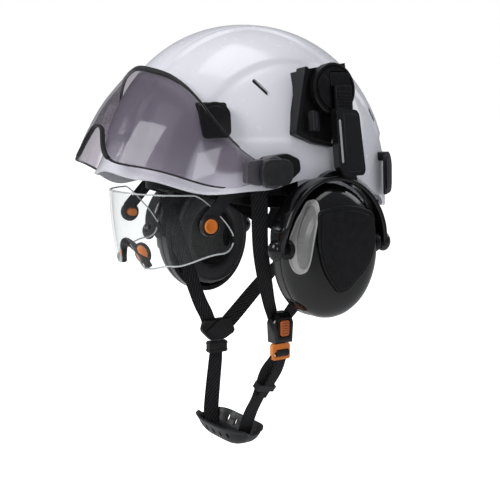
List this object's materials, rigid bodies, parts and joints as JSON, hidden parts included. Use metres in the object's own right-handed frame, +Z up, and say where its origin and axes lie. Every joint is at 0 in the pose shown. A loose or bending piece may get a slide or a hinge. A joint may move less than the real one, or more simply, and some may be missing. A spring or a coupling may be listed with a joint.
{
  "type": "arborist helmet",
  "caption": "Climbing helmet with a smoke over-visor, flip-down clear eye shield, clip-on ear defenders, ratchet nape band and buckled chin harness.",
  "frame": {"origin": "on the head's centreline, level with the lowest point of the shell's side rim, midway between the ears' front and back", "axes": "+Z up through the crown, -Y forward where the wearer looks, +X to the wearer's left"},
  "size_m": [0.2634, 0.2993, 0.387],
  "materials": {
    "shell_white": "gloss moulded white, very faint lavender",
    "liner_foam": "moulded black bead foam",
    "smoke_lens": "polished smoke polycarbonate",
    "clear_lens": "polished clear polycarbonate",
    "soft_rubber": "matt black rubber",
    "satin_black": "fine-grained satin black plastic",
    "dark_grey": "satin dark grey plastic",
    "orange": "satin orange plastic",
    "gloss_black": "gloss black plastic",
    "cushion_skin": "soft matt foil skin over foam",
    "sweat_pad": "knitted black sweat pad",
    "absorber_foam": "open-cell grey foam",
    "webbing": "black twill webbing",
    "trim_grey": "satin light grey moulding",
    "spring_steel": "brushed spring steel"
  },
  "bodies": {
    "helmet": {"shell": "shell_white", "foam_liner": "liner_foam", "lamp_clip_front_left": "satin_black", "lamp_clip_front_right": "satin_black", "lamp_clip_rear_left": "satin_black", "lamp_clip_rear_right": "satin_black", "visor_boss_left": "satin_black", "visor_boss_right": "satin_black", "spectacle_bracket_left": "satin_black", "spectacle_bracket_right": "satin_black", "headband": "satin_black", "brow_pad": "sweat_pad", "muff_adaptor_left": "satin_black", "muff_adaptor_right": "satin_black", "front_strap_left": "webbing", "front_strap_right": "webbing", "rear_strap_left": "webbing", "rear_strap_right": "webbing", "buckle_socket": "satin_black"},
    "visor": {"visor_lens": "smoke_lens", "visor_seal": "soft_rubber", "visor_cap_left": "dark_grey", "visor_cap_right": "dark_grey"},
    "spectacle_arms": {"spectacle_arm_left": "dark_grey", "spectacle_arm_right": "dark_grey", "spectacle_button_left": "orange", "spectacle_button_right": "orange"},
    "eye_shield": {"spectacle_lens": "clear_lens", "nose_piece": "soft_rubber", "nose_pad_left": "orange", "nose_pad_right": "orange"},
    "nape_cradle": {"nape_band": "satin_black", "nape_pad": "sweat_pad", "ratchet_housing": "satin_black"},
    "nape_ratchet": {"ratchet_knob": "dark_grey", "ratchet_pinion": "satin_black"},
    "chin_strap": {"strap_divider": "satin_black", "lower_strap_right": "webbing", "chin_cup": "dark_grey", "lower_strap_left": "webbing", "buckle_tongue": "orange"},
    "keeper": {"strap_keeper": "satin_black"},
    "buckle_button": {"release_button": "orange"},
    "muff_disc_left": {"muff_disc_left": "satin_black"},
    "muff_arm_left": {"muff_blade_left": "satin_black"},
    "muff_slide_left": {"muff_sleeve_left": "gloss_black", "muff_yoke_left": "gloss_black"},
    "muff_cup_left": {"ear_cup_left": "gloss_black", "cup_plate_left": "satin_black", "ear_cushion_left": "cushion_skin", "sound_absorber_left": "absorber_foam"},
    "muff_disc_right": {"muff_disc_right": "satin_black"},
    "muff_arm_right": {"muff_blade_right": "satin_black"},
    "muff_slide_right": {"muff_sleeve_right": "gloss_black", "muff_yoke_right": "gloss_black"},
    "muff_cup_right": {"ear_cup_right": "gloss_black", "cup_plate_right": "satin_black", "ear_cushion_right": "cushion_skin", "sound_absorber_right": "absorber_foam"}
  },
  "joints": [
    {"name": "visor_pivot", "type": "hinge", "parent": "helmet", "child": "visor", "pos_m": [0, -0.0435, 0.018], "axis": [1, 0, 0], "range_deg": [0, 48]},
    {"name": "spectacle_fold", "type": "hinge", "parent": "helmet", "child": "spectacle_arms", "pos_m": [0, -0.004, 0.001], "axis": [1, 0, 0], "range_deg": [-13, 0]},
    {"name": "spectacle_tilt", "type": "hinge", "parent": "spectacle_arms", "child": "eye_shield", "pos_m": [0, -0.083, -0.027], "axis": [1, 0, 0], "range_deg": [-10, 10]},
    {"name": "nape_slide", "type": "slide", "parent": "helmet", "child": "nape_cradle", "axis": [0, -1, 0], "range_m": [0, 0.014]},
    {"name": "knob_turn", "type": "hinge", "parent": "nape_cradle", "child": "nape_ratchet", "pos_m": [0, 0.1, -0.038], "axis": [0, 1, 0], "range_deg": [0, 115]},
    {"name": "chin_strap_swing", "type": "hinge", "parent": "helmet", "child": "chin_strap", "pos_m": [-0.058, 0.003, -0.1345], "axis": [0, 1, 0], "range_deg": [0, 34]},
    {"name": "keeper_slide", "type": "slide", "parent": "chin_strap", "child": "keeper", "axis": [-0.473, -0.2439, -0.8466], "range_m": [-0.003, 0.003]},
    {"name": "release_button_press", "type": "slide", "parent": "helmet", "child": "buckle_button", "axis": [-1, 0, 0], "range_m": [0, 0.0015], "stiffness_N_per_m": 400},
    {"name": "muff_turn_left", "type": "hinge", "parent": "helmet", "child": "muff_disc_left", "pos_m": [0.106, 0.02, 0.086], "axis": [0.9936, 0, 0.1132], "range_deg": [0, 12]},
    {"name": "muff_swing_left", "type": "hinge", "parent": "muff_disc_left", "child": "muff_arm_left", "pos_m": [0.11216, 0.025, 0.0867], "axis": [0, -1, 0], "range_deg": [0, 28]},
    {"name": "muff_height_left", "type": "slide", "parent": "muff_arm_left", "child": "muff_slide_left", "axis": [0.1132, 0, -0.9936], "range_m": [0, 0.025]},
    {"name": "cup_tilt_left", "type": "hinge", "parent": "muff_slide_left", "child": "muff_cup_left", "pos_m": [0.1129, 0.014, -0.046], "axis": [0, 1, 0], "range_deg": [-6, 10]},
    {"name": "muff_turn_right", "type": "hinge", "parent": "helmet", "child": "muff_disc_right", "pos_m": [-0.106, 0.02, 0.086], "axis": [0.9936, 0, -0.1132], "range_deg": [0, 12]},
    {"name": "muff_swing_right", "type": "hinge", "parent": "muff_disc_right", "child": "muff_arm_right", "pos_m": [-0.11216, 0.025, 0.0867], "axis": [0, 1, 0], "range_deg": [0, 28]},
    {"name": "muff_height_right", "type": "slide", "parent": "muff_arm_right", "child": "muff_slide_right", "axis": [-0.1132, 0, -0.9936], "range_m": [-0.002, 0.019]},
    {"name": "cup_tilt_right", "type": "hinge", "parent": "muff_slide_right", "child": "muff_cup_right", "pos_m": [-0.1129, 0.014, -0.052], "axis": [0, -1, 0], "range_deg": [-6, 10]}
  ],
  "couplings": [
    {"joint": "knob_turn", "follows": "nape_slide", "rad_per_m": 142.86}
  ]
}
